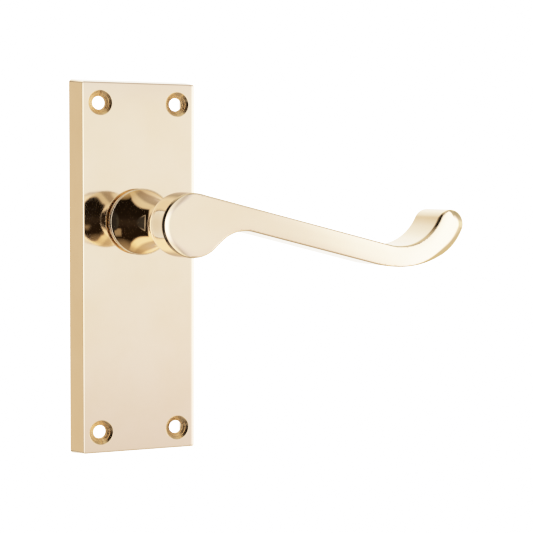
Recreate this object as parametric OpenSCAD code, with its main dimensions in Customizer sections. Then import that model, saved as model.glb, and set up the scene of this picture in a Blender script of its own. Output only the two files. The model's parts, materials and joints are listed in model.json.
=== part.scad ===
// Scroll lever latch handle on a short rectangular backplate.
// Frame: +Z up, +X along the lever's arm, +Y into the door. Millimetres.
// Origin: the lever's axis, where the square spindle comes out of the door's face (Y = 0).
// Depths are distances out of the door's face, towards the room (-Y).

/* [Backplate] */
// Height at the door's face
plate_h = 120; // [110:1:150]
// Width at the door's face
plate_w = 40; // [38:0.5:50]
// Thickness, from the door's face to the front face
plate_t = 10.7; // [10.6:0.1:13]
// How far each side leans in between the door's face and the front face
plate_draft = 1.37; // [0.5:0.01:2]
// Radius of the upright corners
plate_corner_r = 1.1; // [0.5:0.1:3]
// Thickness of the front wall
face_wall = 2.7; // [2:0.1:3]
// Thickness of the side walls at the door's face
rim_wall = 2.6; // [2:0.1:3]

/* [Screw holes] */
// Distance between the screw holes across the plate
screw_dx = 25.6; // [22:0.1:28]
// Distance between the screw holes up the plate
screw_dz = 104.3; // [95:0.1:106]
// Radius of the screw holes
screw_hole_r = 2.05; // [1.8:0.05:2.5]
// Radius of the countersinks at the front face
countersink_r = 3.75; // [3:0.05:4.2]

/* [Lever] */
// Height of the lever's axis above the plate's centre
axis_up = 14.7; // [5:0.1:18]
// How far the lever stands out from the door
projection = 58.3; // [54:0.1:64]
// Radius of the disc that turns against the plate
disc_r = 10.54; // [10:0.01:12]
// Radius of the waist between the disc and the head
waist_r = 5.5; // [5.4:0.1:7]
// Radius of the lever's round head
head_r = 9.2; // [8.6:0.1:10]
// Depth of the arm, from its front face to its back
arm_depth = 17.3; // [14:0.1:19]
// Side of the square spindle that the lever takes
spindle = 8; // [7:0.1:8]

/* [Scroll outline, seen from the front, measured from the lever's axis] */
// Centre and radius of the hollow under the head
underhead = [16.7, -12.29, 10.5]; // [-20:0.01:20]
// Centre and radius of the hollow inside the scroll
hook = [68.7, 8.6, 15.34]; // [0:0.01:80]
// Centre and radius of the scroll's round tip
tip = [86.6, -0.3, 4.65]; // [-5:0.01:100]
// Place of the scroll's lowest point
lowest = [69.2, -13.37]; // [-20:0.01:80]
// Radii of the scroll's underside before and after its lowest point
belly_r = [39.4, 32]; // [25:0.1:50]
// Radius of the bend between the underside and the tip
heel_r = 16.1; // [15:0.1:17]

/* [Spring cassette] */
// Outer radius of the cassette
case_r = 15.8; // [15.5:0.1:16.5]
// Wall thickness of the cassette
case_wall = 1.0; // [0.8:0.1:1.2]
// Angle that the lever turns through
travel = 45; // [30:1:50]
// Diameter of the return spring's wire
wire_d = 0.85; // [0.7:0.05:0.9]

/* [Hidden] */
$fn = 64;

// Depths out of the door's face, back to front
cavity_d = plate_t - face_wall;
shank_end = 0.2;
clip_d = [0.6, 1.3];
wave_d = [1.3, 1.75];
washer_d = [1.75, 2.15];
cover_d = [2.2, 3.0];
floor_d = [cavity_d - 0.8, cavity_d];
hub_d = [3.3, 5.8];
cam_d = [5.8, 6.9];
boss_d = plate_t + 0.9;
flange_d = boss_d + 0.9;
disc_back_d = flange_d + 0.1;
rim_d = plate_t + 2.8;
waist_d = plate_t + 23.8;
flare_d = plate_t + 36.9;
arm_back_d = projection - arm_depth;
socket_end_d = 24;

// Radii about the lever's axis
shank_r = 7.5;
running_gap = 0.05;
bush_r = 8.6;
boss_r = 9.7;
groove_r = 6.7;
shank_flat = 6.3;
flare_r = 9.5;
cam_r = 11.8;
lug_r = 14.2;
pin_r = 1.0;
pin_at = 13.6;
post_at = 14.2;
post_angles = [20, 90, 160];
spring_at = 10.2;
hub_r = 9.0;
rotor_gap = 0.1;

// Ears that hold the cassette in the plate, their bosses and their screws
ear_at = 19.5;
ear_r = 3.5;
ear_d = [4.5, 5.5];
ear_hole_r = 1.7;
tap_r = 1.5;
tap_end_d = 9.4;
screw_head_r = 2.75;
screw_head_d = 3.0;
screw_end_d = 9.35;
slot_w = 0.7;
slot_deep = 0.5;

// Posts for the cover's rivets
post_r = 1.8;
rivet_r = 0.8;
rivet_head_r = 1.4;
rivet_head_d = 1.7;
rivet_end_d = 6.0;

// Retaining ring
clip_r = 8.7;
clip_lug_r = 1.5;
clip_lug_at = 9.1;
clip_hole_r = 0.6;
clip_open = 14;

// Return spring: coil, pitch and the places of its two ends
spring_turns = 1.75;
spring_d = [3.55, 5.25];
spring_cam_angle = 60;
spring_fixed_angle = spring_cam_angle + 360 * (spring_turns % 1);
spring_sides = 8;
spring_steps = 28 * spring_turns;
tang_hole_r = wire_d / 2 + rotor_gap;

// Directions in the front view, counted anticlockwise from +X
lug_angle = -90;
lug_half = 9;
stop_gap = 4.2 + 1.4;
stop_angles = [lug_angle + lug_half + stop_gap, lug_angle - travel - lug_half - stop_gap];

function polar(r, a) = [r * cos(a), r * sin(a)];
function arc(c, r, from, to, n) = [for (i = [0:n]) [c[0], c[1]] + polar(r, from + (to - from) * i / n)];
function xy(c) = [c[0], c[1]];
// Direction of the line that leaves the top of circle a and meets the bottom of circle b
function crossing(a, b) =
    let (v = xy(b) - xy(a)) atan2(v[1], v[0]) - asin((a[2] + b[2]) / norm(v));

// Turns local X, Y, Z into world X, Z, -Y on the lever's axis, so Z is the depth
module on_axis(d = 0) { translate([0, -d, 0]) rotate([90, 0, 0]) children(); }
module ring(d, r_out, r_in) {
    on_axis(d[0]) difference() {
        cylinder(h = d[1] - d[0], r = r_out);
        translate([0, 0, -1]) cylinder(h = d[1] - d[0] + 2, r = r_in);
    }
}
module at_screws(depth) {
    for (x = [-1, 1], z = [-1, 1])
        translate([x * screw_dx / 2, -depth, z * screw_dz / 2 - axis_up]) rotate([90, 0, 0]) children();
}
module at_ears(depth) {
    for (z = [-1, 1]) on_axis(depth) translate([0, z * ear_at, 0]) children();
}

// A rectangle with round corners, centred, made of plain shapes
module round_rect(w, h, r) {
    square([w, h - 2 * r], center = true);
    square([w - 2 * r, h], center = true);
    for (x = [-1, 1], y = [-1, 1]) translate([x * (w / 2 - r), y * (h / 2 - r)]) circle(r);
}
// The side view of a block that leans in by the draft, with a small bevel at its front
module leaning(half, long) {
    bevel = 0.5;
    front = half - plate_draft;
    linear_extrude(long, center = true)
        polygon([[-half, 0], [half, 0], [front + 0.1, -plate_t + bevel], [front - bevel, -plate_t],
                 [bevel - front, -plate_t], [-front - 0.1, -plate_t + bevel]]);
}

module backplate() {
    color([0.93, 0.88, 0.80]) difference() {
        union() {
            translate([0, 0, -axis_up]) intersection() {
                rotate([90, 0, 0]) linear_extrude(plate_t) round_rect(plate_w, plate_h, plate_corner_r);
                leaning(plate_w / 2, plate_h + 2);
                rotate([0, 90, 0]) leaning(plate_h / 2, plate_w + 2);
            }
            on_axis(plate_t - 1) cylinder(h = boss_d - plate_t + 1, r = boss_r);
        }
        difference() {
            translate([0, 1, -axis_up]) rotate([90, 0, 0]) linear_extrude(cavity_d + 1)
                round_rect(plate_w - 2 * rim_wall, plate_h - 2 * rim_wall, 1.5);
            at_ears(ear_d[1]) cylinder(h = cavity_d, r = ear_r - 0.2);
        }
        at_screws(cavity_d - 1) cylinder(h = face_wall + 2, r = screw_hole_r);
        at_screws(plate_t - countersink_r + screw_hole_r)
            cylinder(h = countersink_r - screw_hole_r, r1 = screw_hole_r, r2 = countersink_r);
        on_axis(cavity_d - 1) cylinder(h = plate_t, r = bush_r);
        at_ears(ear_d[0]) cylinder(h = tap_end_d - ear_d[0], r = tap_r);
    }
}

// Flanged sleeve that the lever turns in
module neck_bush() {
    color([0.12, 0.12, 0.13]) on_axis() rotate_extrude()
        polygon([[shank_r + running_gap, floor_d[0]], [bush_r, floor_d[0]], [bush_r, boss_d],
                 [boss_r - 0.2, boss_d], [boss_r - 0.2, flange_d], [shank_r + running_gap, flange_d]]);
}

module cassette_case() {
    color([0.62, 0.63, 0.65]) difference() {
        union() {
            on_axis() rotate_extrude()
                polygon([[bush_r + 0.1, floor_d[1]], [bush_r + 0.1, floor_d[0]],
                         [case_r - case_wall, floor_d[0]], [case_r - case_wall, cover_d[1]],
                         [case_r, cover_d[1]], [case_r, floor_d[1]]]);
            for (a = post_angles) intersection() {
                on_axis(cover_d[1]) rotate(a) translate([post_at, 0, 0])
                    cylinder(h = floor_d[0] - cover_d[1] + 0.1, r = post_r);
                on_axis(cover_d[1]) cylinder(h = cavity_d, r = case_r - case_wall / 2);
            }
            difference() {
                on_axis(ear_d[0]) linear_extrude(ear_d[1] - ear_d[0]) {
                    square([2 * ear_r, 2 * ear_at], center = true);
                    for (z = [-1, 1]) translate([0, z * ear_at]) circle(ear_r);
                }
                on_axis(ear_d[0] - 1) cylinder(h = 3, r = case_r - case_wall / 2);
            }
        }
        at_ears(ear_d[0] - 1) cylinder(h = 3, r = ear_hole_r);
        for (a = stop_angles) on_axis(floor_d[0] - 1) rotate(a) translate([pin_at, 0, 0])
            cylinder(h = 3, r = pin_r);
        for (a = post_angles) on_axis(cover_d[1] - 1) rotate(a) translate([post_at, 0, 0])
            cylinder(h = 4, r = rivet_r);
    }
}

module cassette_cover() {
    color([0.70, 0.71, 0.73]) difference() {
        ring(cover_d, case_r, shank_r + 0.4);
        for (a = stop_angles) on_axis(0) rotate(a) translate([pin_at, 0, 0]) cylinder(h = 4, r = pin_r);
        for (a = post_angles) on_axis(0) rotate(a) translate([post_at, 0, 0]) cylinder(h = 4, r = rivet_r);
        on_axis(0) rotate(spring_fixed_angle) translate([spring_at, 0, 0])
            cylinder(h = 4, r = tang_hole_r);
    }
}

module cover_rivets() {
    color([0.75, 0.70, 0.55]) for (a = post_angles) on_axis() rotate(a) translate([post_at, 0, 0])
        rotate_extrude()
            polygon([[0, rivet_head_d], [rivet_head_r - 0.4, rivet_head_d],
                     [rivet_head_r, rivet_head_d + 0.3], [rivet_head_r, cover_d[0]],
                     [rivet_r, cover_d[0]], [rivet_r, rivet_end_d], [0, rivet_end_d]]);
}

module stop_pins() {
    color([0.55, 0.56, 0.58]) for (a = stop_angles) on_axis(cover_d[0]) rotate(a)
        translate([pin_at, 0, 0]) cylinder(h = cavity_d - cover_d[0], r = pin_r);
}

// Pan-head screws that hold the cassette in the plate
module cassette_screws() {
    color([0.72, 0.72, 0.70]) difference() {
        at_ears(0) rotate_extrude()
            polygon([[0, screw_head_d], [screw_head_r - 0.55, screw_head_d],
                     [screw_head_r, screw_head_d + 0.6], [screw_head_r, ear_d[0]], [tap_r, ear_d[0]],
                     [tap_r, screw_end_d - 0.35], [tap_r - 0.6, screw_end_d], [0, screw_end_d]]);
        at_ears(screw_head_d - 0.5) for (a = [45, 135]) rotate(a)
            translate([-screw_head_r - 1, -slot_w / 2, 0])
                cube([2 * screw_head_r + 2, slot_w, 0.5 + slot_deep]);
    }
}

// Coil of the return spring, its ends bent along the axis into the cam and the cover
function spring_path() = concat(
    [[each polar(spring_at, spring_cam_angle), cam_d[1] - 0.2]],
    [for (i = [0:spring_steps]) let (t = i / spring_steps)
        [each polar(spring_at, spring_cam_angle + 360 * spring_turns * t),
         spring_d[1] + (spring_d[0] - spring_d[1]) * t]],
    [[each polar(spring_at, spring_fixed_angle), cover_d[0] + 0.2]]);
function unit(v) = v / norm(v);
// Rings of points round a path, each square to the path, joined into one closed skin
module sweep(path, r, sides) {
    last = len(path) - 1;
    rings = [for (i = [0:last]) let (
        along = unit(path[min(i + 1, last)] - path[max(i - 1, 0)]),
        out = unit([path[i][0], path[i][1], 0]),
        u = unit(out - (out * along) * along),
        v = cross(along, u))
        for (s = [0:sides - 1]) path[i] + r * (cos(360 * s / sides) * u + sin(360 * s / sides) * v)];
    polyhedron(points = rings, faces = concat(
        [[for (s = [0:sides - 1]) s]],
        [[for (s = [0:sides - 1]) last * sides + sides - 1 - s]],
        [for (i = [0:last - 1], s = [0:sides - 1]) let (n = (s + 1) % sides)
            [i * sides + s, (i + 1) * sides + s, (i + 1) * sides + n, i * sides + n]]));
}
module return_spring() {
    color([0.45, 0.46, 0.48]) on_axis() sweep(spring_path(), wire_d / 2, spring_sides);
}

// Front view of the lever: round head, straight arm and scroll, all in tangent arcs
top_dir = crossing([0, 0, head_r], hook);
under_dir = -crossing([0, 0, head_r], [underhead[0], -underhead[1], underhead[2]]);
belly = [lowest[0], lowest[1] + belly_r[0], belly_r[0]];
belly_dir = crossing(underhead, belly);
heel_from = -64.5;
heel = [lowest[0], lowest[1] + belly_r[1]] + polar(belly_r[1] - heel_r, heel_from);
heel_to = atan2(tip[1] - heel[1], tip[0] - heel[0]);
tip_to = atan2(hook[1] - tip[1], hook[0] - tip[0]);
module lever_outline() {
    polygon(concat(
        arc([0, 0], head_r, 90 + top_dir, 270 + under_dir, 40),
        arc(underhead, underhead[2], 90 + under_dir, 90 + belly_dir, 14),
        arc(belly, belly_r[0], belly_dir - 90, -90, 6),
        arc([lowest[0], lowest[1] + belly_r[1]], belly_r[1], -88, heel_from, 8),
        arc(heel, heel_r, heel_from + 4, heel_to, 8),
        arc(tip, tip[2], heel_to + 8, tip_to, 20),
        arc(hook, hook[2], tip_to - 183, top_dir - 90, 20)));
}
// Top view of the arm: its full depth along the scroll, less where the neck carries it
module arm_depths() {
    polygon([[-head_r - 1, projection], [-head_r - 1, flare_d], [0, flare_d], [13, arm_back_d],
             [tip[0] + 10, arm_back_d], [tip[0] + 10, projection]]);
}
// Half of the lever's round core, from the shank's end to the head
trumpet_r = (pow(waist_d - rim_d - 0.4, 2) + pow(disc_r - 0.4 - waist_r, 2)) / 2
            / (disc_r - 0.4 - waist_r);
neck_r = (pow(flare_d - 4 - waist_d, 2) + pow(flare_r - 0.8 - waist_r, 2)) / 2
         / (flare_r - 0.8 - waist_r);
module core_outline() {
    start = asin((waist_d - rim_d - 0.4) / trumpet_r);
    stop = asin((flare_d - 4 - waist_d) / neck_r);
    polygon(concat(
        [[0, shank_end], [shank_r, shank_end], [shank_r, clip_d[0]], [groove_r, clip_d[0]],
         [groove_r, clip_d[1]], [shank_r, clip_d[1]], [shank_r, disc_back_d],
         [disc_r - 0.3, disc_back_d], [disc_r, disc_back_d + 0.3], [disc_r, rim_d]],
        arc([waist_r + trumpet_r, waist_d], trumpet_r, 180 + start, 180, 14),
        arc([waist_r + neck_r, waist_d], neck_r, 178, 180 - stop, 12),
        [[flare_r - 0.25, flare_d - 2], [flare_r, flare_d], [flare_r, flare_d + 4],
         [head_r + 0.15, projection - 0.5], [head_r - 0.3, projection], [0, projection]]));
}
module lever() {
    color([0.94, 0.89, 0.78]) difference() {
        union() {
            on_axis() rotate_extrude() core_outline();
            intersection() {
                on_axis(arm_back_d - 1) linear_extrude(projection - arm_back_d + 1) lever_outline();
                translate([0, 0, -30]) linear_extrude(60) mirror([0, 1]) arm_depths();
            }
        }
        on_axis(shank_end - 1) translate([-spindle / 2, -spindle / 2, 0])
            cube([spindle, spindle, socket_end_d - shank_end + 1]);
        for (x = [-1, 1]) translate([x * (shank_flat + 5), -(cam_d[1] + 0.3) / 2, 0])
            cube([10, cam_d[1] + 0.3, 2 * shank_r + 2], center = true);
    }
}

// Cam keyed to the shank's flats, with the lug that meets the stop pins
module rotor_cam() {
    color([0.50, 0.50, 0.52]) difference() {
        union() {
            on_axis(hub_d[0]) cylinder(h = hub_d[1] - hub_d[0] + 0.1, r = hub_r);
            on_axis(cam_d[0]) cylinder(h = cam_d[1] - cam_d[0], r = cam_r);
            on_axis(cam_d[0]) linear_extrude(cam_d[1] - cam_d[0])
                polygon(concat(arc([0, 0], cam_r - 1, lug_angle - lug_half, lug_angle + lug_half, 1),
                               arc([0, 0], lug_r, lug_angle + lug_half, lug_angle - lug_half, 6)));
        }
        intersection() {
            on_axis(0) cylinder(h = 10, r = shank_r);
            translate([0, -5, 0]) cube([2 * shank_flat, 12, 40], center = true);
        }
        on_axis(cam_d[0] - 1) rotate(spring_cam_angle) translate([spring_at, 0, 0])
            cylinder(h = 4, r = tang_hole_r);
    }
}

module thrust_washer() {
    color([0.78, 0.78, 0.76]) ring(washer_d, 10.2, shank_r + 0.1);
}

// Three-wave spring washer that takes up the end play
module wave_washer() {
    color([0.60, 0.60, 0.62]) difference() {
        ring(wave_d, 9.6, shank_r + 0.1);
        for (a = [0, 120, 240]) on_axis() rotate(a) translate([5, -1.6, wave_d[0] - 0.1])
            cube([6, 3.2, 0.25]);
        for (a = [60, 180, 300]) on_axis() rotate(a) translate([5, -1.6, wave_d[1] - 0.15])
            cube([6, 3.2, 0.25]);
    }
}

// Open retaining ring in the shank's groove, with two plier lugs
module circlip() {
    lug_angles = [90 - clip_open - 8, 90 + clip_open + 8];
    color([0.42, 0.42, 0.44]) on_axis(clip_d[0]) linear_extrude(clip_d[1] - clip_d[0]) difference() {
        union() {
            circle(r = clip_r);
            for (a = lug_angles) rotate(a) translate([clip_lug_at, 0]) circle(r = clip_lug_r);
        }
        circle(r = groove_r);
        polygon([[0, 0], polar(2 * clip_r, 90 - clip_open), polar(2 * clip_r, 90 + clip_open)]);
        for (a = lug_angles) rotate(a) translate([clip_lug_at, 0]) circle(r = clip_hole_r);
    }
}

backplate();
neck_bush();
cassette_case();
cassette_cover();
cover_rivets();
stop_pins();
cassette_screws();
return_spring();
lever();
rotor_cam();
thrust_washer();
wave_washer();
circlip();
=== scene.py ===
"""Looks for the scroll lever latch handle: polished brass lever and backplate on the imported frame."""

import json
import math

import bmesh
import bpy
import numpy as np
from mathutils import Matrix, Vector
from mathutils.geometry import tessellate_polygon


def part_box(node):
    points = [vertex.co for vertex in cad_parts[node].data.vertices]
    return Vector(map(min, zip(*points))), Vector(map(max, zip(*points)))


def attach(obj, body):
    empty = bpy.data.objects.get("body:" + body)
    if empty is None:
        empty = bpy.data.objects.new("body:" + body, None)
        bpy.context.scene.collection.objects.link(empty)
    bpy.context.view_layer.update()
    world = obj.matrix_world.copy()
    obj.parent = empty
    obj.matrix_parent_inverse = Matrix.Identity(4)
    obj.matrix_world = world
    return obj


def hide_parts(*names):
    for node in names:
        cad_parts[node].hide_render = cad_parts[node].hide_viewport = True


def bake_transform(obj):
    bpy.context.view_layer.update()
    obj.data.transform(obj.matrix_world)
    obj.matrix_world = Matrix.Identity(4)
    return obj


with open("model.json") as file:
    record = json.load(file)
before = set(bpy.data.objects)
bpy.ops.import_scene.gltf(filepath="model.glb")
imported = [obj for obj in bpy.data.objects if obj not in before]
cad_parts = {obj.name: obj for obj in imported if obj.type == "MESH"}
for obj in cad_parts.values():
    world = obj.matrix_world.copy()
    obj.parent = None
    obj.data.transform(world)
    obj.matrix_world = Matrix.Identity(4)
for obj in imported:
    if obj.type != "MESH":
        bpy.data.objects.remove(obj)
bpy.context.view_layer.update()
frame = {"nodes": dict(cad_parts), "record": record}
MM = 0.001


# ---------------------------------------------------------------- sizes from the frame
def mm_box(node):
    low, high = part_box(node)
    return np.array(low) / MM, np.array(high) / MM


plate_lo, plate_hi = mm_box("backplate")
FRONT = -mm_box("lever")[0][1]             # how far the lever stands out
PLATE_Z = (plate_lo[2] + plate_hi[2]) / 2  # middle of the plate
HALF_W = (plate_hi[0] - plate_lo[0]) / 2
HALF_H = (plate_hi[2] - plate_lo[2]) / 2
screws = [m for m in frame["record"]["mounts"] if m["name"] == "plate_screws"][0]["dims"]

# Depths out of the door's face, in mm
CAVITY = round(-mm_box("cassette_case")[0][1], 3)  # floor of the plate's hollow
BOSS = round(-plate_lo[1], 3)              # front of the boss round the neck
FACE = 10.7                                # the plate's front face
RIM_BACK = 12.6                            # back and front of the disc on the plate
RIM = 13.5
WAIST = 34.5                               # the neck's thinnest place
MOUTH = 41.0                               # back of the arm

# Radii and lengths, in mm
DRAFT = 1.37                               # how far the plate's sides lean in
CORNER_R = 1.1
WALL = 2.6                                 # the plate's side walls at the door
SINK_R = 3.75                              # countersink
BOSS_R = 9.7
BORE_R = 8.6
EAR_AT = 19.5                              # cassette screws, above and below the axis
DISC_R = 10.54
SHANK_R = 7.5
SHANK_FLAT = 6.3
CORE_R = 6.2                               # part of the shank that goes up into the neck
CORE_END = 24.3
SPRING_AT = 10.2
WIRE_R = 0.425
DIAGONAL = math.sqrt(0.5)


# ---------------------------------------------------------------- mesh helper
def smooth_step(t):
    t = np.clip(t, 0, 1)
    return t * t * (3 - 2 * t)


class Mesh:
    """Points, faces and one normal for each face corner. Points are (x, z, depth) in mm.
    turned holds the faces that take the second material."""

    def __init__(self):
        self.points, self.faces, self.normals, self.turned = [], [], [], set()

    def ring(self, pts):
        start = len(self.points)
        self.points.extend(tuple(map(float, p)) for p in pts)
        return list(range(start, start + len(pts)))

    def skin(self, a, b, na, nb):
        """Quads from ring a to ring b. na and nb are one normal for each point."""
        n = len(a)
        for i in range(n):
            j = (i + 1) % n
            self.faces.append([a[i], a[j], b[j], b[i]])
            self.normals.append([na[i], na[j], nb[j], nb[i]])

    def fill(self, loops, normal):
        """A flat region bounded by loops: the outline first, then its holes."""
        flat = [i for loop in loops for i in loop]
        lists = [[Vector((self.points[i][0], self.points[i][1], 0)) for i in loop] for loop in loops]
        for tri in tessellate_polygon(lists):
            ids = [flat[k] for k in tri]
            p = [np.array(self.points[i]) for i in ids]
            across = np.cross(p[1] - p[0], p[2] - p[0])
            if abs(across[2]) < 1e-9:
                continue
            if across[2] * normal[2] < 0:
                ids.reverse()
            self.faces.append(ids)
            self.normals.append([normal] * 3)

    def build(self, name):
        """The Blender object. Depth becomes -Y, so faces whose winding that mirrors are turned round."""
        points = [(p[0] * MM, -p[2] * MM, p[1] * MM) for p in self.points]
        faces, normals = [], []
        for f, ns in zip(self.faces, self.normals):
            q = [np.array(points[i]) for i in f]
            n = np.cross(q[1] - q[0], q[2] - q[0])
            if len(q) == 4:
                n = n + np.cross(q[2] - q[0], q[3] - q[0])
            want = np.mean([(m[0], -m[2], m[1]) for m in ns], axis=0)
            if np.dot(n, want) < 0:
                f, ns = f[::-1], ns[::-1]
            faces.append(f)
            normals.extend(Vector((m[0], -m[2], m[1])).normalized() for m in ns)
        mesh = bpy.data.meshes.new(name)
        mesh.from_pydata(points, [], faces)
        mesh.update()
        mesh.polygons.foreach_set("use_smooth", [True] * len(mesh.polygons))
        mesh.polygons.foreach_set("material_index", [int(k in self.turned) for k in range(len(faces))])
        mesh.normals_split_custom_set([tuple(n) for n in normals])
        obj = bpy.data.objects.new(name, mesh)
        bpy.context.scene.collection.objects.link(obj)
        return obj


def circle(r, n, cx=0.0, cz=0.0):
    a = np.arange(n) * 2 * math.pi / n
    return np.stack([cx + r * np.cos(a), cz + r * np.sin(a)], 1), np.stack([np.cos(a), np.sin(a)], 1)


def at_depth(flat, d):
    return [(p[0], p[1], d) for p in flat]


def lathe(mesh, profile, n, cx=0.0, cz=0.0, first=None):
    """Rings along profile, [(radius, depth, outward share, depth share)].
    A sharp corner repeats a place with another normal."""
    rings, last = [], None
    for r, d, nr, nd in profile:
        pts, out = circle(r, n, cx, cz)
        normals = [(nr * o[0], nr * o[1], nd) for o in out]
        if last is not None and last[0] == (r, d):
            ids = last[1]
        elif last is None and first is not None:
            ids = first
        else:
            ids = mesh.ring(at_depth(pts, d))
        if last is not None and last[0] != (r, d):
            mesh.skin(last[1], ids, last[2], normals)
        last = ((r, d), ids, normals)
        rings.append(ids)
    return rings


# ---------------------------------------------------------------- the plate
def rounded_rect(hw, hh, r, corner=10, along=6, right_in=0.0):
    """Points and outward directions of a rectangle with round corners, anticlockwise.
    right_in moves its right side in."""
    pts, out = [], []
    right = hw - right_in
    centres = [(right - r, hh - r, 0), (r - hw, hh - r, 90), (r - hw, r - hh, 180), (right - r, r - hh, 270)]
    for k, (cx, cz, start) in enumerate(centres):
        for i in range(corner + 1):
            a = math.radians(start + 90 * i / corner)
            pts.append((cx + r * math.cos(a), cz + r * math.sin(a)))
            out.append((math.cos(a), math.sin(a)))
        nx = centres[(k + 1) % 4]
        a = math.radians(start + 90)
        begin = (cx + r * math.cos(a), cz + r * math.sin(a))
        end = (nx[0] + r * math.cos(a), nx[1] + r * math.sin(a))
        for i in range(1, along):
            t = i / along
            pts.append((begin[0] * (1 - t) + end[0] * t, begin[1] * (1 - t) + end[1] * t))
            out.append((math.cos(a), math.sin(a)))
    return np.array(pts), np.array(out)


def front_edge(tight, wide, roll):
    """The plate's side meeting its face: a tight edge, then a shallow arc onto the face.
    Steps are (inset, depth, outward share, depth share)."""
    lean = math.atan(DRAFT / FACE)
    steps, count = [], 7
    centre_d = FACE - wide * (1 - math.cos(roll)) - tight * math.cos(roll)
    centre_in = centre_d * math.tan(lean) + tight / math.cos(lean)
    for i in range(count + 1):
        a = lean + (math.pi / 2 - roll - lean) * i / count
        c, s = math.cos(a), math.sin(a)
        steps.append((centre_in - tight * c, centre_d + tight * s, c, s))
    wide_in = centre_in + (wide - tight) * math.sin(roll)
    for i in range(1, count + 1):
        a = roll * (1 - i / count)
        c, s = math.cos(a), math.sin(a)
        steps.append((wide_in - wide * s, FACE - wide + wide * c, s, c))
    return steps


def plate_outside(m):
    """Skin from the back edge up the leaning sides and onto the face. Returns its first and last rings."""
    lean, back = math.atan(DRAFT / FACE), 0.25
    profile = [(back, 0.0, 0.0, -1.0), (back * 0.3, back * 0.3, DIAGONAL, -DIAGONAL),
               (back * math.tan(lean), back, math.cos(lean), math.sin(lean))]
    # The right side is buffed over further than the others
    crisp = profile + front_edge(0.12, 2.6, math.radians(9.0))
    worn = profile + front_edge(0.3, 15.0, math.radians(5.6))
    last, rings = None, []
    for one, two in zip(crisp, worn):
        r = max(CORNER_R - 0.35 * one[0], 0.4)
        pts, out = rounded_rect(HALF_W - one[0], HALF_H - one[0], r, right_in=two[0] - one[0])
        share = smooth_step(out[:, :1])
        d, nr, nd = [one[k] * (1 - share) + two[k] * share for k in (1, 2, 3)]
        ids = m.ring([(p[0], p[1] + PLATE_Z, dd) for p, dd in zip(pts, d[:, 0])])
        normals = [(a * o[0], a * o[1], b) for a, o, b in zip(nr[:, 0], out, nd[:, 0])]
        if last:
            m.skin(last[0], ids, last[1], normals)
        last = (ids, normals)
        rings.append(ids)
    return rings[0], rings[-1]


def plate_inside(m):
    """Skin from the rim's inner edge down to the cavity's floor, with a round foot."""
    foot = 1.0
    profile = [(WALL - 0.2, 0.0, 0.0, -1.0), (WALL, 0.2, -1.0, 0.0), (WALL, CAVITY - foot, -1.0, 0.0)]
    for i in range(1, 5):
        a = math.pi / 2 * i / 4
        c, s = math.cos(a), math.sin(a)
        profile.append((WALL + foot - foot * c, CAVITY - foot + foot * s, -c, -s))
    last, rings = None, []
    for inset, d, nr, nd in profile:
        pts, out = rounded_rect(HALF_W - inset, HALF_H - inset, 1.6)
        ids = m.ring([(p[0], p[1] + PLATE_Z, d) for p in pts])
        normals = [(nr * o[0], nr * o[1], nd) for o in out]
        if last:
            m.skin(last[0], ids, last[1], normals)
        last = (ids, normals)
        rings.append(ids)
    return rings[0], rings[-1]


def screw_hole(m, cx, cz):
    """Countersink with a buffed lip and a cutter's rings, then the straight hole."""
    hole_r, lip, turns = screws["hole_r_mm"], 0.22, 14
    low_r = hole_r + 0.05
    cone = FACE - (SINK_R - hole_r)
    profile = [(SINK_R + lip, FACE, 0, 1), (SINK_R + lip * 0.45, FACE - lip * 0.12, -0.38, 0.92),
               (SINK_R, FACE - lip * 0.5, -DIAGONAL, DIAGONAL)]
    for i in range(1, turns):
        at = SINK_R + (low_r - SINK_R) * i / turns
        wave = 0.14 * math.cos(i * 2.1) + 0.05 * math.cos(i * 5.3)
        profile.append((at, FACE - lip * 0.5 - (SINK_R - at), -DIAGONAL - wave, DIAGONAL - wave))
    profile += [(low_r, cone - 0.06, -DIAGONAL, DIAGONAL), (hole_r, cone - 0.2, -1, 0),
                (hole_r, CAVITY + 0.1, -1, 0), (hole_r + 0.1, CAVITY, 0, -1)]
    before = len(m.faces)
    rings = lathe(m, profile, 48, cx, cz)
    m.turned.update(range(before, len(m.faces)))
    return rings[0], rings[-1]


def plate_boss(m):
    """Boss round the lever's neck, with its bore."""
    fillet = 0.5
    profile = []
    for i in range(5):
        a = math.pi / 2 * i / 4
        c, s = math.cos(a), math.sin(a)
        profile.append((BOSS_R + fillet - fillet * s, FACE + fillet - fillet * c, s, c))
    profile += [(BOSS_R, BOSS - 0.25, 1, 0), (BOSS_R - 0.25, BOSS, 0, 1), (BORE_R, BOSS, 0, 1)]
    outside = lathe(m, profile, 96)
    bore = lathe(m, [(BORE_R, BOSS, -1, 0), (BORE_R, CAVITY, -1, 0)], 96, first=outside[-1])
    return outside[0], bore[-1]


def screw_ear(m, cz):
    """Boss behind the face that takes a cassette screw."""
    top, tap_end = 5.5, 9.35
    profile = [(3.3, CAVITY, 1, 0), (3.3, top + 0.2, 1, 0), (3.1, top, 0, -1), (1.7, top, 0, -1),
               (1.5, top + 0.2, -1, 0), (1.5, tap_end, -1, 0)]
    rings = lathe(m, profile, 40, 0, cz)
    m.fill([rings[-1]], (0, 0, -1))
    return rings[0]


def build_plate():
    m = Mesh()
    back, front = plate_outside(m)
    rim, floor = plate_inside(m)
    m.fill([back, rim], (0, 0, -1))
    half_x, half_z = screws["spacing_x_mm"] / 2, screws["spacing_y_mm"] / 2
    holes = [screw_hole(m, sx * half_x, PLATE_Z + sz * half_z) for sx in (-1, 1) for sz in (-1, 1)]
    foot, bore = plate_boss(m)
    m.fill([front, foot] + [h[0] for h in holes], (0, 0, 1))
    ears = [screw_ear(m, s * EAR_AT) for s in (-1, 1)]
    m.fill([floor, bore] + [h[1] for h in holes] + ears, (0, 0, -1))
    return m.build("plate_casting")


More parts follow.
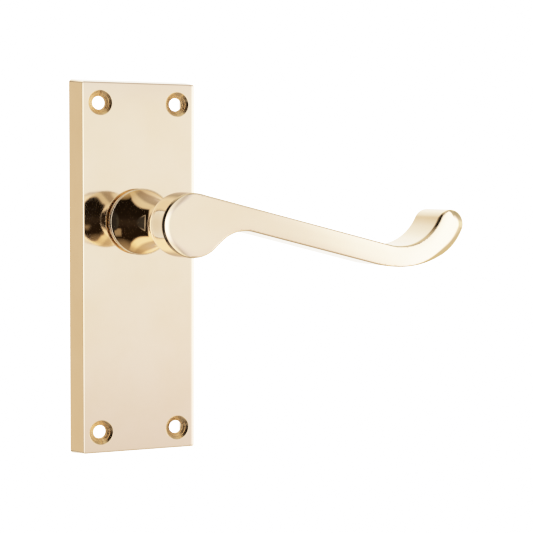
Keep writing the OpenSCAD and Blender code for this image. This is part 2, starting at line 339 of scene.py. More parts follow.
# ---------------------------------------------------------------- the lever's casting
def crossing(a, b):
    """Direction of the straight line that touches circle a from above and circle b from below."""
    vx, vz = b[0] - a[0], b[1] - a[1]
    return math.atan2(vz, vx) - math.asin((a[2] + b[2]) / math.hypot(vx, vz))


def arc_points(c, r, a0, a1, n):
    """n points along an arc, both ends included."""
    a = np.linspace(a0, a1, n)
    return np.stack([c[0] + r * np.cos(a), c[1] + r * np.sin(a)], 1)


# Circles of the outline in the front view, as centre x, centre z, radius
SLAB = (0.15, 0.0, 9.2)
BULGE = (0.6, 0.0, 9.45)
UNDER = (16.7, -12.29, 10.5)
TIP = (86.6, -0.3, 4.65)
HOOK_AT = (68.7, 8.4)
HOOK = (*HOOK_AT, math.dist(TIP[:2], HOOK_AT) - TIP[2])
LOWEST = (69.2, -13.37)
BELLY_R = (39.4, 32.0)
HEEL_R = 16.1


def lever_chain():
    """The outline as tangent arcs, centre x, centre z, radius, from, to, with straight lines between."""
    top = crossing(BULGE, HOOK)
    under = -crossing(BULGE, (UNDER[0], -UNDER[1], UNDER[2]))
    belly = (LOWEST[0], LOWEST[1] + BELLY_R[0], BELLY_R[0])
    belly_dir = crossing(UNDER, belly)
    belly2 = (LOWEST[0], LOWEST[1] + BELLY_R[1], BELLY_R[1])
    heel_from = math.radians(-64.5)
    heel_out = BELLY_R[1] - HEEL_R
    heel = (belly2[0] + heel_out * math.cos(heel_from), belly2[1] + heel_out * math.sin(heel_from), HEEL_R)
    # The heel meets the tip, and the tip the hook, where the line between their centres cuts them
    heel_to = math.atan2(TIP[1] - heel[1], TIP[0] - heel[0])
    tip_to = math.atan2(HOOK[1] - TIP[1], HOOK[0] - TIP[0])
    q = math.pi / 2
    return [(*BULGE, q + top, 3 * q + under),
            (*UNDER, q + under, q + belly_dir),
            (*belly, belly_dir - q, -q),
            (*belly2, -q, heel_from),
            (*heel, heel_from, heel_to),
            (*TIP, heel_to, tip_to),
            (*HOOK, tip_to - math.pi, top - q)]


CHAIN = lever_chain()
OUTLINE = np.concatenate([arc_points(c[:2], c[2], c[3], c[4], 60) for c in CHAIN])


def outline_distance(x, z):
    """Signed distance in the front view to the lever's outline, below 0 inside."""
    best = np.full(x.shape, 1e9)
    ends = []
    for cx, cz, r, a0, a1 in CHAIN:
        dx, dz = x - cx, z - cz
        rho = np.hypot(dx, dz)
        mid, half = (a0 + a1) / 2, abs(a1 - a0) / 2
        off = (np.arctan2(dz, dx) - mid + math.pi) % (2 * math.pi) - math.pi
        best = np.where(np.abs(off) <= half, np.minimum(best, np.abs(rho - r)), best)
        both = [(cx + r * math.cos(a), cz + r * math.sin(a)) for a in (a0, a1)]
        for px, pz in both:
            best = np.minimum(best, np.hypot(x - px, z - pz))
        ends.append(both)
    for k in range(len(ends)):
        (ax, az), (bx, bz) = ends[k][1], ends[(k + 1) % len(ends)][0]
        ux, uz = bx - ax, bz - az
        size = ux * ux + uz * uz
        if size < 1e-8:
            continue
        t = np.clip(((x - ax) * ux + (z - az) * uz) / size, 0, 1)
        best = np.minimum(best, np.hypot(x - ax - t * ux, z - az - t * uz))
    inside = np.zeros(x.shape, bool)
    px, pz = OUTLINE[:, 0], OUTLINE[:, 1]
    for i in range(len(px)):
        j = (i + 1) % len(px)
        if pz[i] == pz[j]:
            continue
        spans = (pz[i] > z) != (pz[j] > z)
        if not spans.any():
            continue
        inside ^= spans & (x < px[i] + (z - pz[i]) * (px[j] - px[i]) / (pz[j] - pz[i]))
    slab = np.hypot(x - SLAB[0], z - SLAB[1]) - SLAB[2]
    return np.minimum(np.where(inside, -best, best), slab)


def hermite(d, knots):
    """Value and slope along knots [(place, value, slope)]."""
    value, slope = np.zeros_like(d), np.zeros_like(d)
    last = len(knots) - 2
    for k in range(last + 1):
        (d0, v0, m0), (d1, v1, m1) = knots[k], knots[k + 1]
        w = d1 - d0
        inside = ((d >= d0) | (k == 0)) & ((d < d1) | (k == last))
        t = np.clip((d - d0) / w, 0, 1)
        v = (2 * t**3 - 3 * t**2 + 1) * v0 + (t**3 - 2 * t**2 + t) * w * m0 + (3 * t**2 - 2 * t**3) * v1 \
            + (t**3 - t**2) * w * m1
        s = ((6 * t**2 - 6 * t) * v0 + (3 * t**2 - 4 * t + 1) * w * m0 + (6 * t - 6 * t**2) * v1
             + (3 * t**2 - 2 * t) * w * m1) / w
        value, slope = np.where(inside, v, value), np.where(inside, s, slope)
    return value, slope


# The round core's radius and its slope along the depth: trumpet, waist, flare and head
TRUNK = [(RIM, 10.2, -0.62), (14.6, 9.62, -0.48), (17.5, 8.46, -0.31), (31.5, 5.75, -0.19), (WAIST, 5.5, 0.0),
         (38.6, 6.6, 0.34), (43.0, 8.32, 0.42), (46.6, 9.55, 0.17), (48.2, 9.66, 0.0), (FRONT, 9.45, -0.022)]
LAP = 0.5                                  # the casting starts this far behind the waist, inside the neck


def trunk_offset(d):
    """How far the core's centre lies towards the arm."""
    return BULGE[0] * smooth_step((d - WAIST) / (46.0 - WAIST))


def round_max(a, b, r):
    """The larger of two distances, with the corner between them rounded."""
    return np.minimum(np.maximum(a, b), -r) + np.hypot(np.maximum(a + r, 0), np.maximum(b + r, 0))


def lever_field(x, z, d, flat):
    """Below 0 inside the casting. flat is outline_distance at x, z."""
    # Round core from the waist on. It starts a little thinner, inside the neck piece
    radius, slope = hermite(d, TRUNK)
    radius = radius - 0.12 * (1 - smooth_step((d - WAIST + LAP) / 2.5))
    rho = np.hypot(x - trunk_offset(d), z)
    trunk = (rho - radius) / np.sqrt(1 + slope**2)

    # Arm and scroll: the outline through the arm's depth, its back eased into the neck
    back = 47.7 - (47.7 - MOUTH) * smooth_step((x - 1) / 13)
    slab = round_max(flat, back - d, 1.7)
    k = 0.12 + 5.0 * smooth_step((x - 1.5) / 8) * smooth_step((-flat - 0.3) / 4)
    h = np.maximum(k - np.abs(trunk - slab), 0) / k
    body = np.minimum(trunk, slab) - h * h * k / 4

    # Front face. Its edge is crisp along the arm, softer at the head's left and at the scroll
    from_hook = np.hypot(x - HOOK[0], z - HOOK[1]) - HOOK[2]
    nose = smooth_step((from_hook - 1.5) / 3) * smooth_step((x - 72) / 13)
    inner = smooth_step(1 - from_hook / 2.5) * smooth_step((x - 66) / 10) * smooth_step((87 - x) / 5)
    edge = 0.45 + 0.25 * smooth_step((-1 - x) / 6) + 0.8 * nose + 0.25 * inner
    roll = np.clip((body + 2.8) / 2.8, 0, 1) ** 2 * (0.05 + 0.35 * smooth_step((1 - x) / 7))
    body = round_max(body * (1 - 0.57 * nose), (d - FRONT + roll) * (1 - 0.5 * inner), edge)
    return np.maximum(body, WAIST - LAP - d)


def surface_nets(val, low, h):
    """Points and quads of the zero surface of val on a regular grid."""
    inside = val < 0
    n = np.array(val.shape)
    count = np.zeros(n - 1, np.uint8)
    for i in (0, 1):
        for j in (0, 1):
            for k in (0, 1):
                count += inside[i:n[0] - 1 + i, j:n[1] - 1 + j, k:n[2] - 1 + k]
    mixed = (count > 0) & (count < 8)
    cells = np.argwhere(mixed)
    index = np.full(mixed.shape, -1)
    index[mixed] = np.arange(len(cells))
    total, hits = np.zeros((len(cells), 3)), np.zeros(len(cells))
    for axis in range(3):
        u, v = (axis + 1) % 3, (axis + 2) % 3
        for du in (0, 1):
            for dv in (0, 1):
                a = cells.copy()
                a[:, u] += du
                a[:, v] += dv
                b = a.copy()
                b[:, axis] += 1
                va, vb = val[tuple(a.T)], val[tuple(b.T)]
                cross = (va < 0) != (vb < 0)
                t = np.where(cross, va / np.where(cross, va - vb, 1), 0)
                p = a.astype(float)
                p[:, axis] += t
                total += p * cross[:, None]
                hits += cross
    points = low + h * total / hits[:, None]
    quads = []
    for axis in range(3):
        u, v = (axis + 1) % 3, (axis + 2) % 3
        low_side = np.take(inside, range(n[axis] - 1), axis)
        high_side = np.take(inside, range(1, n[axis]), axis)
        edges = np.argwhere(low_side != high_side)
        eu, ev = edges[:, u], edges[:, v]
        edges = edges[(eu > 0) & (ev > 0) & (eu < n[u] - 1) & (ev < n[v] - 1)]
        out = low_side[tuple(edges.T)]
        corner = []
        for su, sv in ((-1, -1), (0, -1), (0, 0), (-1, 0)):
            c = edges.copy()
            c[:, u] += su
            c[:, v] += sv
            corner.append(index[tuple(c.T)])
        q = np.stack(corner, 1)
        quads.append(np.where(out[:, None], q, q[:, ::-1]))
    return points, np.concatenate(quads)


def build_lever():
    """Head, arm and scroll: the field's zero surface, each point moved onto it with its exact normal."""
    h = 0.38
    # The grid takes in the whole outline, with some cells to spare
    low = np.array([-11.6, -14.6, WAIST - LAP - 3 * h + 0.1])
    high = np.array([92.6, 11.8, FRONT + 3 * h])
    axes = [np.arange(low[i], high[i], h) for i in range(3)]
    gx, gz = np.meshgrid(axes[0], axes[1], indexing="ij")
    flat = outline_distance(gx, gz)
    x, z, d = np.meshgrid(*axes, indexing="ij")
    val = lever_field(x, z, d, np.broadcast_to(flat[:, :, None], x.shape))
    points, quads = surface_nets(val, low, h)

    def field(p):
        return lever_field(p[:, 0], p[:, 1], p[:, 2], outline_distance(p[:, 0], p[:, 1]))

    def gradient(p, e=0.02):
        g = np.zeros_like(p)
        for i in range(3):
            a, b = p.copy(), p.copy()
            a[:, i] -= e
            b[:, i] += e
            g[:, i] = (field(b) - field(a)) / (2 * e)
        return g

    def settle(p, rounds):
        for _ in range(rounds):
            g = gradient(p)
            step = -field(p)[:, None] * g / np.maximum((g * g).sum(1), 0.07)[:, None]
            size = np.linalg.norm(step, axis=1, keepdims=True)
            p = p + step * np.minimum(1, 0.25 / np.maximum(size, 1e-9))
        n = gradient(p)
        return p, n / np.maximum(np.linalg.norm(n, axis=1, keepdims=True), 1e-9)

    points, normals = settle(points, 3)
    mesh = bpy.data.meshes.new("lever_casting")
    mesh.from_pydata(points.tolist(), [], quads.tolist())
    mesh.update()
    # Finer faces where the surface bends fast, such as along the front edge
    for limit in (16, 13):
        bm = bmesh.new()
        bm.from_mesh(mesh)
        bm.verts.ensure_lookup_table()
        sharp = []
        for e in bm.edges:
            a, b = e.verts[0].index, e.verts[1].index
            if normals[a] @ normals[b] < math.cos(math.radians(limit)) and e.calc_length() > 0.1:
                sharp.append(e)
        bmesh.ops.subdivide_edges(bm, edges=sharp, cuts=1, use_grid_fill=True)
        bm.to_mesh(mesh)
        bm.free()
        points = np.zeros(len(mesh.vertices) * 3)
        mesh.vertices.foreach_get("co", points)
        points, normals = settle(points.reshape(-1, 3), 2)
        mesh.vertices.foreach_set("co", points.ravel())
    world = np.stack([points[:, 0], -points[:, 2], points[:, 1]], 1) * MM
    mesh.vertices.foreach_set("co", world.ravel())
    mesh.update()
    mesh.polygons.foreach_set("use_smooth", [True] * len(mesh.polygons))
    mesh.normals_split_custom_set_from_vertices(
        np.stack([normals[:, 0], -normals[:, 2], normals[:, 1]], 1).tolist())
    obj = bpy.data.objects.new("lever_casting", mesh)
    bpy.context.scene.collection.objects.link(obj)
    return obj


def build_neck():
    """Round part behind the waist: the disc that turns on the plate and the trumpet, on the shank."""
    m = Mesh()
    edge, steps = 0.3, 8
    profile = [(CORE_R, CORE_END, 0, -1), (CORE_R, CORE_END, -1, 0), (CORE_R, RIM_BACK, -1, 0),
               (CORE_R, RIM_BACK, 0, -1), (DISC_R - 0.2, RIM_BACK, 0, -1), (DISC_R, RIM_BACK + 0.2, 1, 0),
               (DISC_R, RIM - edge, 1, 0)]
    for i in range(1, steps + 1):
        a = math.pi / 2 * i / steps
        c, s = math.cos(a), math.sin(a)
        profile.append((DISC_R - edge + edge * c, RIM - edge + edge * s, c, s))
    for d in np.linspace(RIM, WAIST + 1.8, 120):
        (r,), (slope,) = hermite(np.array([d]), TRUNK)
        size = math.hypot(1, slope)
        profile.append((float(r), float(d), 1 / size, -float(slope) / size))
    rings = lathe(m, profile, 128)
    # Past the waist the rings move off the axis with the core
    for ring in rings:
        for i in ring:
            x, z, d = m.points[i]
            if d > WAIST:
                m.points[i] = (x + float(trunk_offset(np.array(d))), z, d)
    m.fill([rings[0]], (0, 0, -1))
    m.fill([rings[-1]], (0, 0, 1))
    return m.build("lever_neck")


def build_shank():
    """Round shank with two flats, a ring groove and the blind square socket for the spindle."""
    m = Mesh()
    n = 96
    _, unit = circle(1.0, n)
    square = unit / np.abs(unit).max(1, keepdims=True)
    socket, socket_end, mouth_d = 4.0, 24.0, 0.2

    def turned(r, d, flats):
        p = unit * r
        if flats:
            p = np.stack([np.clip(p[:, 0], -SHANK_FLAT, SHANK_FLAT), p[:, 1]], 1)
        return m.ring(at_depth(p, d)), np.abs(unit[:, 0] * r) > SHANK_FLAT if flats else np.zeros(n, bool)

    def side_normals(on_flat, nr=1.0, nd=0.0):
        return [((math.copysign(1, u[0]) * nr, 0, nd) if f else (u[0] * nr, u[1] * nr, nd))
                for u, f in zip(unit, on_flat)]

    # Socket, from its floor out to its mouth
    floor = m.ring(at_depth(square * socket, socket_end))
    mouth = m.ring(at_depth(square * socket, mouth_d + 0.4))
    wide = m.ring(at_depth(square * (socket + 0.35), mouth_d))
    for i in range(n):
        j = (i + 1) % n
        mid = unit[i] + unit[j]
        k = 0 if abs(mid[0]) > abs(mid[1]) else 1
        inward = [0.0, 0.0]
        inward[k] = -math.copysign(1, mid[k])
        for lo, hi, nd in ((floor, mouth, 0.0), (mouth, wide, -0.75)):
            m.faces.append([lo[i], lo[j], hi[j], hi[i]])
            m.normals.append([(inward[0], inward[1], nd)] * 4)
    m.fill([floor], (0, 0, -1))
    # Outside, from the chamfered end past the ring groove and the flats to the part inside the neck
    chamfer, groove_r, groove, flats_end = 0.3, 6.7, (0.6, 1.3), 7.2
    ids, f = turned(SHANK_R - chamfer, mouth_d, True)
    m.fill([ids, wide], (0, 0, -1))
    steps = [(SHANK_R, mouth_d + chamfer, True), (SHANK_R, groove[0], True), (groove_r, groove[0], True),
             (groove_r, groove[1], True), (SHANK_R, groove[1], True), (SHANK_R, flats_end, True),
             (SHANK_R, flats_end, False), (SHANK_R, RIM_BACK, False), (CORE_R, RIM_BACK, False),
             (CORE_R, CORE_END, False)]
    last = (SHANK_R - chamfer, mouth_d, ids, f)
    for r, d, flats in steps:
        ids, f = turned(r, d, flats)
        if d == last[1]:
            facing = [(0, 0, 1 if r < last[0] else -1)] * n
            m.skin(last[2], ids, facing, facing)
        else:
            slant = 0.0 if r == last[0] else -DIAGONAL
            m.skin(last[2], ids, side_normals(last[3], 1, slant), side_normals(f, 1, 0))
        last = (r, d, ids, f)
    m.fill([last[2]], (0, 0, 1))
    return m.build("lever_shank")


def build_spring():
    """Torsion coil. Its front end bends into the cam and its back end into the cover."""
    m = Mesh()
    turns, sides, steps, bend = 1.75, 14, 105, 0.12
    coil_front, coil_back, front_end, back_end = 5.25, 3.55, 6.7, 2.4
    start = math.radians(60)
    end = start + 2 * math.pi * turns

    def place(angle, depth):
        return (SPRING_AT * math.cos(angle), SPRING_AT * math.sin(angle), depth)

    path = [place(start, front_end), place(start, coil_front + 0.5),
            place(start + bend * 0.2, coil_front + 0.12)]
    for i in range(steps + 1):
        t = i / steps
        path.append(place(start + bend * 0.6 + (end - start - bend * 1.2) * t,
                          coil_front + (coil_back - coil_front) * t))
    path += [place(end - bend * 0.2, coil_back - 0.12), place(end, coil_back - 0.5), place(end, back_end)]
    path = np.array(path)
    rings, last = [], None
    for k, p in enumerate(path):
        along = path[min(k + 1, len(path) - 1)] - path[max(k - 1, 0)]
        along /= np.linalg.norm(along)
        out = np.array([p[0], p[1], 0.0]) / SPRING_AT
        u = out - (out @ along) * along
        u /= np.linalg.norm(u)
        v = np.cross(along, u)
        turn = [2 * math.pi * i / sides for i in range(sides)]
        normals = [tuple(math.cos(a) * u + math.sin(a) * v) for a in turn]
        ids = m.ring([p + WIRE_R * np.array(n) for n in normals])
        if last:
            m.skin(last[0], ids, last[1], normals)
        last = (ids, normals)
        rings.append(ids)
    m.fill([rings[0]], (0, 0, 1))
    m.fill([rings[-1]], (0, 0, -1))
    return m.build("spring_coil")


# ---------------------------------------------------------------- materials
def nodes_of(name):
    """A new material with its node tree and its shader."""
    mat = bpy.data.materials.new(name)
    mat.use_nodes = True
    tree = mat.node_tree
    return mat, tree, tree.nodes["Principled BSDF"]


def noise(tree, scale, detail=3.0, rough=0.5, stretch=None, seed=0.0):
    """A noise texture in the piece's own coordinates. scale counts features in a metre."""
    coord = tree.nodes.new("ShaderNodeTexCoord")
    mapping = tree.nodes.new("ShaderNodeMapping")
    mapping.inputs["Location"].default_value = (seed, seed * 0.37, seed * 0.71)
    if stretch:
        mapping.inputs["Scale"].default_value = stretch
    tex = tree.nodes.new("ShaderNodeTexNoise")
    tex.inputs["Scale"].default_value = scale
    tex.inputs["Detail"].default_value = detail
    tex.inputs["Roughness"].default_value = rough
    tree.links.new(coord.outputs["Object"], mapping.inputs["Vector"])
    tree.links.new(mapping.outputs["Vector"], tex.inputs["Vector"])
    return tex.outputs["Fac"]


def ramp(tree, source, stops):
    """A colour ramp on source. Each stop is (position, grey or colour)."""
    node = tree.nodes.new("ShaderNodeValToRGB")
    el = node.color_ramp.elements
    while len(el) > 1:
        el.remove(el[-1])
    for i, (pos, col) in enumerate(stops):
        e = el[0] if i == 0 else el.new(pos)
        e.position = pos
        e.color = (col, col, col, 1) if isinstance(col, (int, float)) else (*col, 1)
    tree.links.new(source, node.inputs["Fac"])
    return node.outputs["Color"]


def span(tree, source, low, high, out_low, out_high):
    """source carried over from low..high to out_low..out_high."""
    node = tree.nodes.new("ShaderNodeMapRange")
    for k, v in (("From Min", low), ("From Max", high), ("To Min", out_low), ("To Max", out_high)):
        node.inputs[k].default_value = v
    tree.links.new(source, node.inputs["Value"])
    return node.outputs["Result"]


def add_bump(tree, shader, layers):
    """Stacked bumps, from layers of (source, height in metres)."""
    last = None
    for source, height in layers:
        bump = tree.nodes.new("ShaderNodeBump")
        bump.inputs["Strength"].default_value = 1.0
        bump.inputs["Distance"].default_value = height
        tree.links.new(source, bump.inputs["Height"])
        if last:
            tree.links.new(last, bump.inputs["Normal"])
        last = bump.outputs["Normal"]
    tree.links.new(last, shader.inputs["Normal"])


def metal(name, bright, deep, rough, wave=0.0, brush=None, brush_height=0.0, patch=55.0):
    """Metal with a patchy tone and roughness. wave is a slow swell, brush the stretch of a fine grain."""
    mat, tree, s = nodes_of(name)
    s.inputs["Metallic"].default_value = 1.0
    tone = noise(tree, patch, 4, 0.55, seed=1.3)
    colour = ramp(tree, tone, [(0.30, deep), (0.62, bright)])
    tree.links.new(colour, s.inputs["Base Color"])
    smear = noise(tree, patch * 3.1, 5, 0.6, seed=4.1)
    tree.links.new(span(tree, smear, 0.3, 0.72, rough[0], rough[1]), s.inputs["Roughness"])
    layers = []
    if wave:
        layers.append((noise(tree, 38, 1, 0.3, seed=2.2), wave))
    if brush:
        layers.append((noise(tree, 900, 2, 0.6, stretch=brush, seed=7.0), brush_height))
    if layers:
        add_bump(tree, s, layers)
    return mat


def plastic(name, bright, deep, rough):
    """Moulded plastic with a fine, even grain."""
    mat, tree, s = nodes_of(name)
    tone = noise(tree, 260, 3, 0.5, seed=3.0)
    tree.links.new(ramp(tree, tone, [(0.3, deep), (0.7, bright)]), s.inputs["Base Color"])
    smear = noise(tree, 900, 3, 0.6, seed=5.0)
    tree.links.new(span(tree, smear, 0.3, 0.7, rough[0], rough[1]), s.inputs["Roughness"])
    add_bump(tree, s, [(noise(tree, 2600, 2, 0.5, seed=6.0), 0.00001)])
    return mat


BRASS = metal("polished_brass", (0.93, 0.73, 0.50), (0.90, 0.69, 0.45), (0.035, 0.075), wave=0.000012,
              brush=(1, 1, 0.06), brush_height=0.0000006)
TURNED = metal("turned_brass", (0.90, 0.67, 0.42), (0.80, 0.57, 0.32), (0.14, 0.26), brush=(0.05, 1, 0.05),
               brush_height=0.000004)
NYLON = plastic("black_nylon", (0.030, 0.030, 0.033), (0.018, 0.018, 0.020), (0.38, 0.55))
ZINC = metal("zinc_steel", (0.72, 0.74, 0.76), (0.58, 0.60, 0.62), (0.20, 0.38), brush=(1, 1, 0.08),
             brush_height=0.000004, patch=180)
HARD = metal("hard_steel", (0.42, 0.42, 0.43), (0.26, 0.26, 0.27), (0.22, 0.42), brush=(1, 0.1, 1),
             brush_height=0.000004, patch=220)
SPRING = metal("spring_steel", (0.27, 0.27, 0.29), (0.15, 0.15, 0.165), (0.35, 0.52), patch=400)

# ---------------------------------------------------------------- pieces on their bodies
plate = build_plate()
casting = build_lever()
neck = build_neck()
shank = build_shank()
coil = build_spring()
for piece, body, node, mat, slot in ((plate, "plate", "backplate", BRASS, "polished_brass"),
                                     (casting, "lever", "lever", BRASS, "polished_brass"),
                                     (neck, "lever", "lever", BRASS, "polished_brass"),
                                     (shank, "lever", "lever", TURNED, "polished_brass")):
    piece.data.materials.append(mat)
    if piece is plate:
        piece.data.materials.append(TURNED)
    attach(piece, body)
    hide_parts(node)

# On the handle the coil winds up as the lever turns, its back end held by the plate and its front end by the
# cam; here it is baked in place on no body.
coil.data.materials.append(SPRING)
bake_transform(coil)
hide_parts("return_spring")

CARRIED = {"neck_bush": NYLON, "cassette_case": ZINC, "cassette_cover": ZINC, "cover_rivets": TURNED,
           "stop_pins": HARD, "cassette_screws": ZINC, "rotor_cam": HARD,
           "thrust_washer": ZINC, "wave_washer": SPRING, "circlip": SPRING}
for node, mat in CARRIED.items():
    obj = frame["nodes"][node]
    obj.data.materials.clear()
    obj.data.materials.append(mat)

# ---------------------------------------------------------------- camera
target = Vector((44.26, -10.7, PLATE_Z - 0.46)) * MM
distance = 0.4853
back = Vector((-0.4020, -0.9140, 0.0556)).normalized()
right = Vector((-back.y, back.x, 0)).normalized()
up = back.cross(right)
roll = math.radians(0.18)
basis = Matrix((right * math.cos(roll) + up * math.sin(roll),
                up * math.cos(roll) - right * math.sin(roll),
                back))
cam_data = bpy.data.cameras.new("camera")
cam_data.sensor_width = 36
cam_data.lens = 99.0
cam_data.clip_start, cam_data.clip_end = 0.02, 60
cam = bpy.data.objects.new("camera", cam_data)
bpy.context.scene.collection.objects.link(cam)
cam.matrix_world = Matrix.Translation(target + back * distance) @ basis.transposed().to_4x4()
bpy.context.scene.camera = cam


# ---------------------------------------------------------------- floor and backdrop
def stage_piece(name, points, faces, mat):
    """A backdrop piece that the camera sees and the polished metal doesn't."""
    mesh = bpy.data.meshes.new(name)
    mesh.from_pydata(points, [], faces)
    mesh.update()
    mesh.polygons.foreach_set("use_smooth", [True] * len(mesh.polygons))
    mesh.materials.append(mat)
    obj = bpy.data.objects.new(name, mesh)
    bpy.context.scene.collection.objects.link(obj)
    obj.visible_glossy = False
    return obj


def build_floor():
    """A wide floor of pale paper, well below the handle, with a painted glow: dim under it as painted shade,
    brighter away from it.
    """
    low, reach, n = -0.34, 6.0, 40
    line = [(i / n - 0.5) * 2 * reach for i in range(n + 1)]
    points = [(x, y, low) for x in line for y in line]
    faces = [(i * (n + 1) + j, (i + 1) * (n + 1) + j, (i + 1) * (n + 1) + j + 1, i * (n + 1) + j + 1)
             for i in range(n) for j in range(n)]
    mat, tree, s = nodes_of("floor_paper_painted_glow")
    tone = ramp(tree, noise(tree, 3.0, 3, 0.5, seed=9.0), [(0.3, 0.90), (0.7, 0.93)])
    tree.links.new(tone, s.inputs["Base Color"])
    tree.links.new(span(tree, noise(tree, 40, 3), 0.3, 0.7, 0.75, 0.9), s.inputs["Roughness"])
    # Painted light: emission on the floor, weakest right under the handle as painted shade and strongest far
    # off
    coord = tree.nodes.new("ShaderNodeTexCoord")
    flat = tree.nodes.new("ShaderNodeVectorMath")
    flat.operation = "MULTIPLY"
    flat.inputs[1].default_value = (1, 1, 0)
    away = tree.nodes.new("ShaderNodeVectorMath")
    away.operation = "LENGTH"
    tree.links.new(coord.outputs["Object"], flat.inputs[0])
    tree.links.new(flat.outputs[0], away.inputs[0])
    glow = span(tree, away.outputs["Value"], 0.15, 0.95, 0.5, 2.6)
    tree.links.new(glow, s.inputs["Emission Strength"])
    s.inputs["Emission Color"].default_value = (1, 1, 1, 1)
    stage_piece("floor", points, faces, mat)


def build_backdrop():
    """A white backdrop all round."""
    mat = bpy.data.materials.new("backdrop_white")
    mat.use_nodes = True
    tree = mat.node_tree
    tree.nodes.remove(tree.nodes["Principled BSDF"])
    glow = tree.nodes.new("ShaderNodeEmission")
    glow.inputs["Strength"].default_value = 3.4
    tone = ramp(tree, noise(tree, 0.4, 2), [(0.3, 0.98), (0.7, 1.0)])
    tree.links.new(tone, glow.inputs["Color"])
    tree.links.new(glow.outputs[0], tree.nodes["Material Output"].inputs["Surface"])
    rows, cols, far = 24, 48, 5.5
    points, faces = [], []
    for i in range(rows + 1):
        tilt = math.pi * i / rows
        for j in range(cols):
            turn = 2 * math.pi * j / cols
            points.append((far * math.sin(tilt) * math.cos(turn), far * math.sin(tilt) * math.sin(turn),
                           far * math.cos(tilt)))
    for i in range(rows):
        for j in range(cols):
            k = (j + 1) % cols
            faces.append((i * cols + j, (i + 1) * cols + j, (i + 1) * cols + k, i * cols + k))
    sky = stage_piece("backdrop", points, faces, mat)
    sky.visible_diffuse = False
    sky.visible_shadow = False
    sky.visible_transmission = False


build_floor()
build_backdrop()


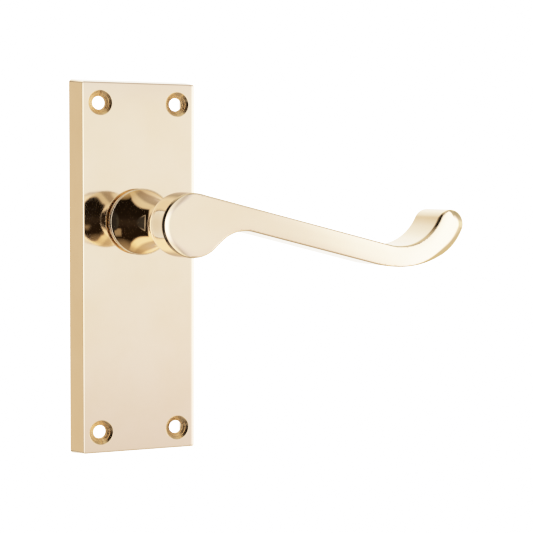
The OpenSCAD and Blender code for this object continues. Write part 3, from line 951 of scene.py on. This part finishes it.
# ---------------------------------------------------------------- light
def build_world():
    """A studio tent of panels by compass direction, dimmer above, with dark gaps at the left."""
    world = bpy.data.worlds.new("studio")
    bpy.context.scene.world = world
    world.use_nodes = True
    tree = world.node_tree
    bg = tree.nodes["Background"]
    coord = tree.nodes.new("ShaderNodeTexCoord")
    split = tree.nodes.new("ShaderNodeSeparateXYZ")
    tree.links.new(coord.outputs["Generated"], split.inputs[0])

    def math_node(op, a, b):
        node = tree.nodes.new("ShaderNodeMath")
        node.operation = op
        for k, v in enumerate((a, b)):
            if isinstance(v, (int, float)):
                node.inputs[k].default_value = v
            else:
                tree.links.new(v, node.inputs[k])
        return node.outputs[0]

    def mix(kind, a, b, fac=None):
        node = tree.nodes.new("ShaderNodeMix")
        node.data_type = "RGBA"
        node.blend_type = kind
        node.inputs["Factor"].default_value = 1.0
        if fac is not None:
            tree.links.new(fac, node.inputs["Factor"])
        for k, v in ((6, a), (7, b)):
            if isinstance(v, tuple):
                node.inputs[k].default_value = v
            else:
                tree.links.new(v, node.inputs[k])
        return node.outputs[2]

    # The ramps hold a third of the light, to stay within 0 to 1
    bright = 3.0
    neg_y = math_node("MULTIPLY", split.outputs["Y"], -1.0)
    turn = math_node("ARCTAN2", split.outputs["X"], neg_y)
    place = math_node("ADD", math_node("MULTIPLY", turn, 0.5 / math.pi), 0.5)
    height = math_node("ADD", math_node("MULTIPLY", split.outputs["Z"], 0.5), 0.5)

    def share(*colour):
        return tuple(c / bright for c in colour)

    def at_turn(stops):
        return ramp(tree, place, [((t + 180) / 360, col) for t, col in stops])

    def at_height(stops):
        return ramp(tree, height, [((z + 1) / 2, col) for z, col in stops])

    # Degrees from the front of the handle, + towards +X
    dark = (0.016, 0.013, 0.011)
    panels = [(-180, (1.15, 1.12, 1.05)), (-170, (1.0, 0.95, 0.88)), (-158.5, (0.73, 0.60, 0.46)),
              (-156.5, (0.04, 0.032, 0.024)), (-153.0, (0.04, 0.032, 0.024)), (-151.5, (0.65, 0.51, 0.37)),
              (-147, (0.61, 0.48, 0.34)), (-145.5, dark), (-126, (0.055, 0.048, 0.034)),
              (-114, (0.014, 0.012, 0.010)), (-48, dark), (-17, dark),
              (-11, (2.4, 2.4, 2.4)), (3, (2.4, 2.4, 2.4)), (11, (1.0, 1.0, 1.0)), (25, (1.06, 1.0, 1.0)),
              (28, (1.73, 1.73, 1.76)), (31, (2.4, 2.4, 2.5)), (38, (2.4, 2.4, 2.5)),
              (47, (1.05, 1.0, 0.80)), (138, (1.05, 1.0, 0.80)), (150, (1.4, 1.35, 1.25)),
              (166, (1.4, 1.38, 1.32)), (180, (1.15, 1.12, 1.05))]
    around = at_turn([(t, share(*col)) for t, col in panels])
    # How the panels fade with height, ahead of the plate and behind it
    ahead = at_height([(-0.8, (0.55, 0.46, 0.33)), (-0.4, (0.60, 0.53, 0.44)), (-0.24, (0.55, 0.51, 0.49)),
                       (-0.17, (0.80, 0.75, 0.80)), (-0.11, (0.95, 0.92, 0.95)), (-0.05, (1, 1, 1)),
                       (0.052, (1, 1, 1)), (0.085, (0.80, 0.80, 0.90)), (0.15, (0.56, 0.54, 0.56)),
                       (0.3, (0.40, 0.38, 0.36)), (0.8, (0.26, 0.25, 0.23))])
    behind = at_height([(-0.7, 0.5), (-0.3, 1.0), (0.55, 1.0), (0.8, 0.6)])
    clamp = tree.nodes.new("ShaderNodeClamp")
    side = math_node("MULTIPLY", math_node("ADD", neg_y, 0.1), 5.0)
    tree.links.new(side, clamp.inputs["Value"])
    colour = mix("MULTIPLY", around, mix("MIX", behind, ahead, clamp.outputs[0]))
    # A low panel at the left, below the level of the handle
    left = at_turn([(-72, 0.0), (-66, 1.0), (-54, 1.0), (-49, 0.0)])
    low = at_height([(-0.6, 0.0), (-0.5, 1.0), (-0.33, 1.0), (-0.25, 0.0)])
    colour = mix("ADD", colour, mix("MULTIPLY", mix("MULTIPLY", left, low), (*share(0.24, 0.21, 0.17), 1)))
    # One tone overhead and one underneath
    overhead = at_height([(0.78, 0.0), (0.95, 1.0)])
    colour = mix("MIX", colour, (*share(0.62, 0.52, 0.36), 1), overhead)
    below = at_height([(-0.9, 1.0), (-0.62, 0.0)])
    colour = mix("MIX", colour, (*share(0.30, 0.25, 0.19), 1), below)
    tree.links.new(colour, bg.inputs["Color"])
    bg.inputs["Strength"].default_value = bright


build_world()


# ---------------------------------------------------------------- tone curve
def build_tone():
    """A soft shoulder, so that the bright panels don't clip in the brass."""
    view = bpy.context.scene.view_settings
    view.view_transform = "Standard"
    view.look = "None"
    view.exposure = 0.0
    view.gamma = 1.0
    view.use_curve_mapping = True
    cm = view.curve_mapping
    cm.use_clip = False
    cm.extend = "HORIZONTAL"
    top, steps = 3.0, 10
    cm.white_level = (top, top, top)

    def rise(x):
        return 1 - math.exp(-1.95 * top * x)

    stops = [(k / steps, rise(k / steps) / rise(1)) for k in range(steps + 1)]
    stops[1:1] = [(x, rise(x)) for x in (0.03, 0.06)]
    curve = cm.curves[3]
    while len(curve.points) < len(stops):
        curve.points.new(0.5, 0.5)
    for point, at in zip(curve.points, stops):
        point.location = at
        point.handle_type = "AUTO"
    cm.update()


build_tone()
